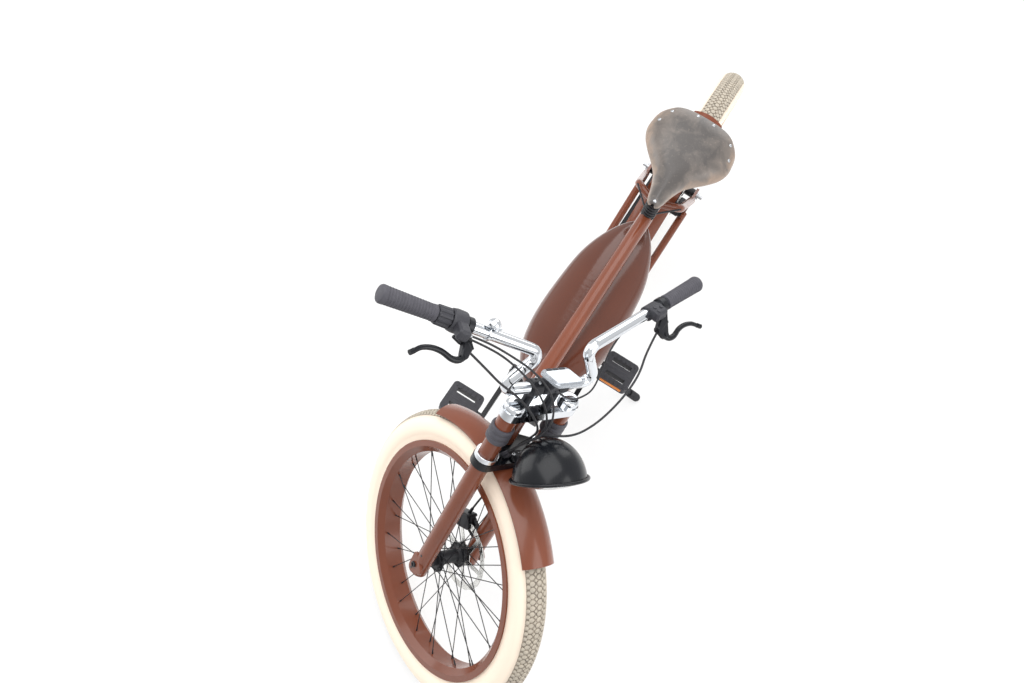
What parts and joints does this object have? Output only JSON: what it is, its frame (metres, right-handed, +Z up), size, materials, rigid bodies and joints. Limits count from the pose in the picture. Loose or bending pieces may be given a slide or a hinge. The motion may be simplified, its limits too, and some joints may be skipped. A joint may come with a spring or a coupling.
{
  "type": "electric fat bike",
  "caption": "Electric cruiser bike with fat cream tyres, twin-crown fork, teardrop tank, sprung leather saddle and disc brakes, leaning on its side stand.",
  "frame": {"origin": "ground level, below the centre of the bounding box", "axes": "+X forwards, +Y to the rider's left, +Z up"},
  "size_m": [1.9655, 0.6338, 1.2002],
  "materials": {
    "brown_paint": "gloss",
    "tank_paint": "gloss",
    "tyre_cream": "matt",
    "black_metal": "satin",
    "black_gloss": "gloss",
    "chrome": "polished",
    "steel": "satin",
    "black_rubber": "matt",
    "grey_rubber": "matt",
    "leather": "worn",
    "dark_plastic": "matt",
    "motor_casing": "matt"
  },
  "bodies": {
    "fork": {"bar_clamps": "chrome", "fork_legs": "brown_paint", "front_axle": "steel", "front_mudguard": "brown_paint", "handlebar": "chrome", "left_grip": "grey_rubber", "leg_bands": "grey_rubber", "leg_caps": "chrome", "leg_rings": "chrome", "lower_crown": "black_gloss", "right_grip": "grey_rubber", "steerer": "steel", "twist_shifter": "dark_plastic", "upper_crown": "chrome"},
    "frame": {"belt": "black_rubber", "chain_stays": "brown_paint", "down_tube": "brown_paint", "dropouts": "brown_paint", "head_tube": "brown_paint", "motor": "motor_casing", "motor_cradle": "brown_paint", "nose_springs": "black_metal", "rear_axle": "steel", "rear_mudguard": "brown_paint", "rear_springs": "black_metal", "saddle_leather": "leather", "saddle_rails": "black_metal", "saddle_wires": "black_metal", "seat_collar": "black_metal", "seat_mast": "brown_paint", "seat_stays": "brown_paint", "seatpost": "black_metal", "stand_bracket": "black_metal", "strut_tube": "brown_paint", "tank": "tank_paint", "top_tube": "brown_paint"},
    "crank": {"cranks": "black_gloss", "front_sprocket": "black_metal"},
    "front_wheel": {"front_disc": "steel", "front_hub": "black_metal", "front_rim": "brown_paint", "front_spokes": "black_metal", "front_tyre": "tyre_cream"},
    "pedal_left": {"left_pedal": "dark_plastic"},
    "rear_wheel": {"rear_disc": "steel", "rear_hub": "black_metal", "rear_rim": "brown_paint", "rear_spokes": "black_metal", "rear_sprocket": "black_metal", "rear_tyre": "tyre_cream"},
    "pedal_right": {"right_pedal": "dark_plastic"},
    "side_stand": {"stand_foot": "black_rubber", "stand_leg": "black_metal"}
  },
  "joints": [
    {"name": "steering", "type": "hinge", "parent": "frame", "child": "fork", "pos_m": [0.50172, 0.06269, 0.71], "axis": [-0.4412, 0.2097, 0.8726], "range_deg": [-106, 0]},
    {"name": "front_wheel_spin", "type": "hinge", "parent": "fork", "child": "front_wheel", "pos_m": [0.72053, 0, 0.31999], "axis": [-0.7185, 0.5, -0.4835], "continuous": true},
    {"name": "rear_wheel_spin", "type": "hinge", "parent": "frame", "child": "rear_wheel", "pos_m": [-0.62279, -0.02767, 0.351], "axis": [-0.003, 0.972, -0.2351], "continuous": true},
    {"name": "crank_spin", "type": "hinge", "parent": "frame", "child": "crank", "pos_m": [0.17239, -0.04178, 0.28242], "axis": [-0.003, 0.972, -0.2351], "continuous": true},
    {"name": "left_pedal_spin", "type": "hinge", "parent": "crank", "child": "pedal_left", "pos_m": [0.00693, 0.10985, 0.24787], "axis": [-0.003, 0.972, -0.2351], "continuous": true},
    {"name": "right_pedal_spin", "type": "hinge", "parent": "crank", "child": "pedal_right", "pos_m": [0.33785, -0.1934, 0.31697], "axis": [-0.003, 0.972, -0.2351], "continuous": true},
    {"name": "stand_swing", "type": "hinge", "parent": "frame", "child": "side_stand", "pos_m": [-0.01896, -0.00774, 0.17891], "axis": [-0.4544, 0.8828, 0.1192], "range_deg": [0, 97.3]}
  ]
}
